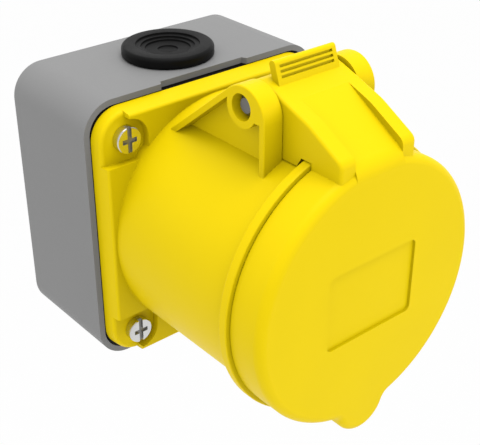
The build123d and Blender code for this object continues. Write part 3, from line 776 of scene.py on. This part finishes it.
class OUTLET_OT_flange_screws(Operator):
    """Builds the four screws that hold the flange"""
    bl_idname = "outlet.flange_screws"
    bl_label = "Build Flange Screws"

    def execute(self, context):
        sizes = context.scene.outlet_flange_screws
        head, height, edge, depth = sizes.head, sizes.head_height, sizes.edge, sizes.slot_depth
        pitch = 2.0 * (SCREW_HIGH.x - head)
        seat = SCREW_LOW.y + height
        shank_length = SCREW_HIGH.y - seat
        tip, under = sizes.shank * TIP_CHAMFER, sizes.under_edge
        profile = [(0.0, -shank_length), (sizes.shank - tip, -shank_length),
                   (sizes.shank, tip - shank_length), (sizes.shank, 0.0), (head - under, 0.0),
                   (head, under)]
        profile += arc((head - edge, height - edge), edge, 0, 90, steps=6)
        profile += [(head * TOP_RING, height), (0.0, height)]
        cross = cross_mesh(sizes.slot, CUTTER_REACH * head, sizes.cross / 2.0, height - depth,
                           height + depth)
        screw = cut(lathe("Screw", profile, SCREW_SEGMENTS), cross)
        screw = round_edges(screw, sizes.burr)
        smooth(screw)
        store_values(screw, "turning", lambda spot: spot.xy.length)
        store_recess(screw, height, depth, head - edge)
        mesh = run_tree("Screws", screw, corner_layout(), Pitch=pitch, Seat=seat,
                        Material=bpy.data.materials["Bright Zinc"])
        finish_piece("cheese_head_screws", mesh, "base", "zinc_plated_steel", "flange_screws")
        return {"FINISHED"}


class OUTLET_OT_spring(Operator):
    """Builds the torsion spring about the hinge pin, split where the lid takes its leg along"""
    bl_idname = "outlet.spring"
    bl_label = "Build Lid Spring"

    def execute(self, context):
        sizes = context.scene.outlet_spring
        _, axis_y, axis_z = hinge["pos_m"]
        coil, wire, pitch = sizes.coil, sizes.wire, sizes.pitch
        steel = bpy.data.materials["Drawn Steel"]
        tree = coil_tree()

        # The lid leg leaves the coil as its tangent and ends just above the lid's round wall.
        forward = axis_y - (SPRING_LOW.y + wire * LEG_INSET)
        down = axis_z - (LID_HIGH.x + wire * LEG_STANDOFF)
        span = math.hypot(forward, down)
        reach = math.sqrt(span * span - coil * coil)
        fall = math.atan2(down, forward) + math.asin(coil / span)
        end_angle = QUARTER_TURN + fall
        turns = sizes.turns + end_angle / FULL_TURN
        height = pitch * turns
        start_x, end_x = -height / 2.0, height / 2.0

        sleeve_top = Vector((start_x, axis_y + coil, axis_z))
        sleeve_foot = Vector((start_x - SLEEVE_LEG_LEAN, axis_y + coil,
                              SPRING_LOW.z + SLEEVE_LEG_LIFT))
        mesh = run_tree("Coil", bpy.data.meshes.new("Coil"), tree, Turns=turns, Coil=coil,
                        Height=height, Wire=wire, Middle=Vector((start_x, axis_y, axis_z)),
                        Leg_Start=sleeve_foot, Leg_End=sleeve_top, Material=steel)
        smooth(mesh)
        finish_piece("torsion_spring", mesh, "base", "spring_steel", "lid_spring")

        # An arc as long as the lid's swing lies inside the coil's end at rest, so that the wire
        # stays whole as the lid opens.
        swing = math.radians(hinge["range_deg"][1])
        arc_rise = pitch * swing / FULL_TURN
        lid_start = Vector((end_x, axis_y + coil * math.cos(end_angle),
                            axis_z + coil * math.sin(end_angle)))
        lid_end = lid_start + Vector((LID_LEG_LEAN, -reach * math.cos(fall),
                                      -reach * math.sin(fall)))
        mesh = run_tree("Leg", bpy.data.meshes.new("Leg"), tree, Turns=swing / FULL_TURN,
                        Coil=coil, Height=arc_rise, Wire=wire * sizes.nested,
                        Start_Angle=Vector((0.0, 0.0, end_angle - swing)),
                        Middle=Vector((end_x - arc_rise, axis_y, axis_z)),
                        Leg_Start=lid_start, Leg_End=lid_end, Material=steel)
        smooth(mesh)
        finish_piece("spring_lid_leg", mesh, "lid_body", "spring_steel", "lid_spring")
        return {"FINISHED"}


class OUTLET_OT_studio(Operator):
    """Builds the floor, the lamps, the pale surroundings and the camera"""
    bl_idname = "outlet.studio"
    bl_label = "Build Studio"

    def execute(self, context):
        settings = context.scene.outlet_studio
        self.build_floor(settings)
        self.build_world(context, settings)
        self.build_lamps(settings)
        self.build_camera(context, settings)
        context.scene.view_settings.view_transform = "Standard"
        return {"FINISHED"}

    def build_floor(self, settings):
        disc = bmesh.new()
        bmesh.ops.create_circle(disc, cap_ends=True, radius=FLOOR_RADIUS, segments=FLOOR_SEGMENTS)
        bmesh.ops.translate(disc, vec=(0.0, 0.0, LID_LOW.z - settings.floor_drop),
                            verts=disc.verts)
        data = plain_mesh("Floor", disc)
        floor = link("floor", data)
        material, tree, shader = start_material("Pale Floor")
        shader.inputs["Roughness"].default_value = 0.9
        mottle = remap(tree, noise(tree, object_coordinates(tree), 30.0), 0.3, 0.7,
                       to_low=0.84, to_high=0.88)
        tree.links.new(grey_of(tree, mottle), shader.inputs["Base Color"])
        white = tree.nodes.new("ShaderNodeEmission")
        white.inputs["Color"].default_value = WHITE
        rays = tree.nodes.new("ShaderNodeLightPath").outputs
        seen = math_node(tree, "MAXIMUM", rays["Is Camera Ray"], rays["Is Glossy Ray"])
        blend = mix_shaders(tree, math_node(tree, "MULTIPLY", seen, FLOOR_WHITE),
                            shader.outputs[0], white.outputs[0])
        tree.links.new(blend, tree.nodes["Material Output"].inputs["Surface"])
        data.materials.append(material)

    def build_world(self, context, settings):
        world = bpy.data.worlds.new("Studio")
        context.scene.world = world
        world.use_nodes = True
        tree = world.node_tree
        tree.nodes.clear()
        rays = tree.nodes.new("ShaderNodeLightPath").outputs
        seen = math_node(tree, "MAXIMUM", rays["Is Camera Ray"], rays["Is Transmission Ray"])
        even = tree.nodes.new("ShaderNodeBackground")
        even.inputs["Strength"].default_value = settings.ambient
        white = tree.nodes.new("ShaderNodeBackground")
        white.inputs["Strength"].default_value = 1.0
        for shade in (even, white):
            shade.inputs["Color"].default_value = WHITE
        result = tree.nodes.new("ShaderNodeOutputWorld")
        tree.links.new(mix_shaders(tree, seen, even.outputs[0], white.outputs[0]),
                       result.inputs[0])

    def build_lamps(self, settings):
        for name, place, power in (("Overhead", OVERHEAD_PLACE, settings.overhead),
                                   ("Front", FRONT_PLACE, settings.front)):
            lamp = bpy.data.lights.new(name, "AREA")
            lamp.shape = "DISK"
            lamp.size = LAMP_SIZE
            lamp.energy = power
            holder = link(name.lower() + "_lamp", lamp)
            holder.location = place
            holder.rotation_euler = (Vector(place) - LAMP_AIM).to_track_quat("Z", "Y").to_euler()

    def build_camera(self, context, settings):
        camera = bpy.data.cameras.new("Camera")
        camera.lens = settings.lens
        camera.sensor_width = SENSOR_WIDTH
        camera.sensor_fit = "HORIZONTAL"
        camera.clip_start, camera.clip_end = CAMERA_CLIP
        holder = link("camera", camera)
        holder.location = CAMERA_PLACE
        holder.rotation_euler = [math.radians(angle) for angle in CAMERA_TURN]
        context.scene.camera = holder


class OUTLET_PT_panel(Panel):
    """Lists the steps that dress the outlet and the sizes they use"""
    bl_idname = "OUTLET_PT_panel"
    bl_label = "Socket Outlet"
    bl_space_type = "VIEW_3D"
    bl_region_type = "UI"
    bl_category = "Outlet"

    def draw(self, context):
        for step in STEPS:
            self.layout.operator(step.bl_idname)
        for holder in HOLDERS:
            settings = getattr(context.scene, holder)
            box = self.layout.box()
            for name in settings.bl_rna.properties.keys():
                if name not in {"rna_type", "name"}:
                    box.prop(settings, name)


STEPS = (OUTLET_OT_finishes, OUTLET_OT_mouldings, OUTLET_OT_gaskets, OUTLET_OT_contacts,
         OUTLET_OT_grommet, OUTLET_OT_flange_screws, OUTLET_OT_spring, OUTLET_OT_studio)
HOLDERS = {
    "outlet_plastics": OutletPlastics,
    "outlet_rubber": OutletRubber,
    "outlet_metals": OutletMetals,
    "outlet_flange_screws": FlangeScrewSizes,
    "outlet_grommet": GrommetSizes,
    "outlet_spring": SpringSizes,
    "outlet_studio": StudioSettings,
}
CLASSES = (*HOLDERS.values(), *STEPS, OUTLET_PT_panel)


def register():
    for kind in CLASSES:
        bpy.utils.register_class(kind)
    for holder, kind in HOLDERS.items():
        setattr(bpy.types.Scene, holder, PointerProperty(type=kind))


def unregister():
    for holder in HOLDERS:
        delattr(bpy.types.Scene, holder)
    for kind in reversed(CLASSES):
        bpy.utils.unregister_class(kind)


def main():
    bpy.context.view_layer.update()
    register()
    bpy.ops.outlet.finishes()
    bpy.ops.outlet.mouldings()
    bpy.ops.outlet.gaskets()
    bpy.ops.outlet.contacts()
    bpy.ops.outlet.grommet()
    bpy.ops.outlet.flange_screws()
    bpy.ops.outlet.spring()
    bpy.ops.outlet.studio()


if __name__ == "__main__":
    main()
